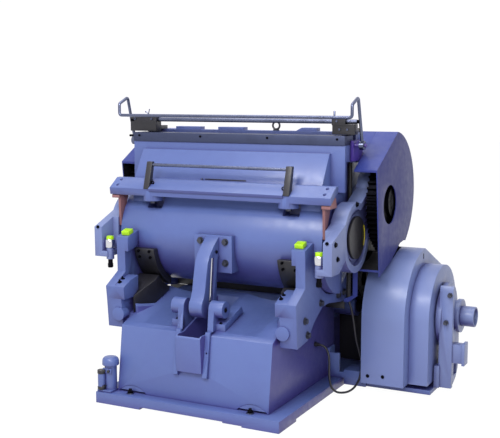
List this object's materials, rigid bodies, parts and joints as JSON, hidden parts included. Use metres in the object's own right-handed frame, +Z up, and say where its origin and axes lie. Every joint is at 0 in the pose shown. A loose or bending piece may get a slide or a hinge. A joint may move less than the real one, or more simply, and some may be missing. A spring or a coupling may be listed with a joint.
{
  "type": "platen die cutting press",
  "caption": "Clamshell press whose swinging platen, drawn shut by two geared pull arms, cuts and creases sheets of board against an upright bed.",
  "frame": {"origin": "on the floor, in the middle of the four anchor holes", "axes": "+X towards the flywheel housing, -Y towards the operator, +Z up"},
  "size_m": [1.854, 1.414, 1.5065],
  "materials": {
    "enamel": "satin",
    "sheet_enamel": "satin",
    "violet": "satin",
    "lime": "glossy",
    "steel": "satin",
    "ground_steel": "polished",
    "chrome": "polished",
    "black": "satin",
    "primer": "matte",
    "black_plastic": "matte",
    "belt": "matte"
  },
  "bodies": {
    "machine": {"base_plate": "enamel", "base_casting": "enamel", "left_cheek": "enamel", "right_cheek": "enamel", "stop_pads": "lime", "cheek_bolts": "steel", "left_rocker_track": "black", "right_rocker_track": "black", "left_guide_block": "enamel", "right_guide_block": "enamel", "bed_casting": "enamel", "lifting_eye": "black", "left_gear_guard": "sheet_enamel", "right_gear_guard": "sheet_enamel", "flywheel_guard": "sheet_enamel", "clutch_guard": "sheet_enamel", "outboard_bracket": "enamel", "bracket_studs": "steel", "shaft_end_cover": "sheet_enamel", "flywheel_bearing": "enamel", "housing_bracket": "enamel", "lube_pump": "sheet_enamel", "drive_motor": "sheet_enamel", "rear_panel": "enamel", "conduit": "black_plastic", "conduit_strip": "sheet_enamel", "cable_gland": "black_plastic", "cable": "black_plastic", "cam_shaft": "chrome", "left_clamp": "black", "right_clamp": "black", "bar_brackets": "violet", "drive_belt": "belt"},
    "platen": {"platen_casting": "enamel", "top_rail": "ground_steel", "press_plate": "ground_steel", "cross_beam": "enamel", "left_end_bracket": "primer", "right_end_bracket": "primer", "beam_posts": "black", "beam_rod": "chrome", "left_rocker": "black", "right_rocker": "black", "centre_lever": "enamel", "lever_bolts": "steel", "damper_rod": "chrome", "left_trunnion_disc": "black", "right_trunnion_disc": "black"},
    "left_pull_arm": {"left_arm": "enamel"},
    "right_pull_arm": {"right_arm": "enamel"},
    "left_catch": {"left_plunger": "chrome"},
    "right_catch": {"right_plunger": "chrome"},
    "crank": {"main_shaft": "steel", "left_main_gear": "steel", "right_main_gear": "steel"},
    "second_shaft": {"second_shaft": "steel"},
    "flywheel_shaft": {"flywheel_shaft": "steel"},
    "flywheel": {"flywheel": "steel"},
    "motor_pulley": {"motor_pulley": "steel"},
    "safety_bar": {"safety_bar": "chrome"}
  },
  "joints": [
    {"name": "platen_swing", "type": "hinge", "parent": "machine", "child": "platen", "pos_m": [0, -0.02, 0.795], "axis": [1, 0, 0], "range_deg": [0, 24]},
    {"name": "left_arm_pivot", "type": "hinge", "parent": "platen", "child": "left_pull_arm", "pos_m": [0, -0.055, 0.829], "axis": [1, 0, 0], "range_deg": [-23.4, 0.1]},
    {"name": "right_arm_pivot", "type": "hinge", "parent": "platen", "child": "right_pull_arm", "pos_m": [0, -0.055, 0.829], "axis": [1, 0, 0], "range_deg": [-23.4, 0.1]},
    {"name": "left_catch_slide", "type": "slide", "parent": "left_pull_arm", "child": "left_catch", "axis": [0, 0, -1], "range_m": [0, 0.012], "stiffness_N_per_m": 900, "springref_m": -0.012},
    {"name": "right_catch_slide", "type": "slide", "parent": "right_pull_arm", "child": "right_catch", "axis": [0, 0, -1], "range_m": [0, 0.012], "stiffness_N_per_m": 900, "springref_m": -0.012},
    {"name": "crank_turn", "type": "hinge", "parent": "machine", "child": "crank", "pos_m": [0, 0.29067, 0.97576], "axis": [1, 0, 0], "range_deg": [-0.1, 27]},
    {"name": "second_shaft_turn", "type": "hinge", "parent": "machine", "child": "second_shaft", "pos_m": [0, 0.36, 0.668], "axis": [1, 0, 0], "range_deg": [-108, 0.1]},
    {"name": "flywheel_shaft_turn", "type": "hinge", "parent": "machine", "child": "flywheel_shaft", "pos_m": [0, 0.433, 0.387], "axis": [1, 0, 0], "range_deg": [-0.1, 339]},
    {"name": "flywheel_spin", "type": "hinge", "parent": "machine", "child": "flywheel", "pos_m": [0.785, 0.433, 0.387], "axis": [1, 0, 0], "continuous": true},
    {"name": "motor_spin", "type": "hinge", "parent": "machine", "child": "motor_pulley", "pos_m": [0.785, 0.718, 0.14], "axis": [1, 0, 0], "continuous": true},
    {"name": "safety_bar_swing", "type": "hinge", "parent": "machine", "child": "safety_bar", "pos_m": [0, 0.008, 1.269], "axis": [-1, 0, 0], "range_deg": [0, 15]}
  ],
  "couplings": [
    {"joint": "left_arm_pivot", "follows": "platen_swing", "ratio": -0.97},
    {"joint": "right_arm_pivot", "follows": "platen_swing", "ratio": -0.97},
    {"joint": "crank_turn", "follows": "platen_swing", "ratio": 1.12},
    {"joint": "second_shaft_turn", "follows": "platen_swing", "ratio": -4.48},
    {"joint": "flywheel_shaft_turn", "follows": "platen_swing", "ratio": 14.112},
    {"joint": "motor_spin", "follows": "flywheel_spin", "ratio": 6.3556}
  ]
}
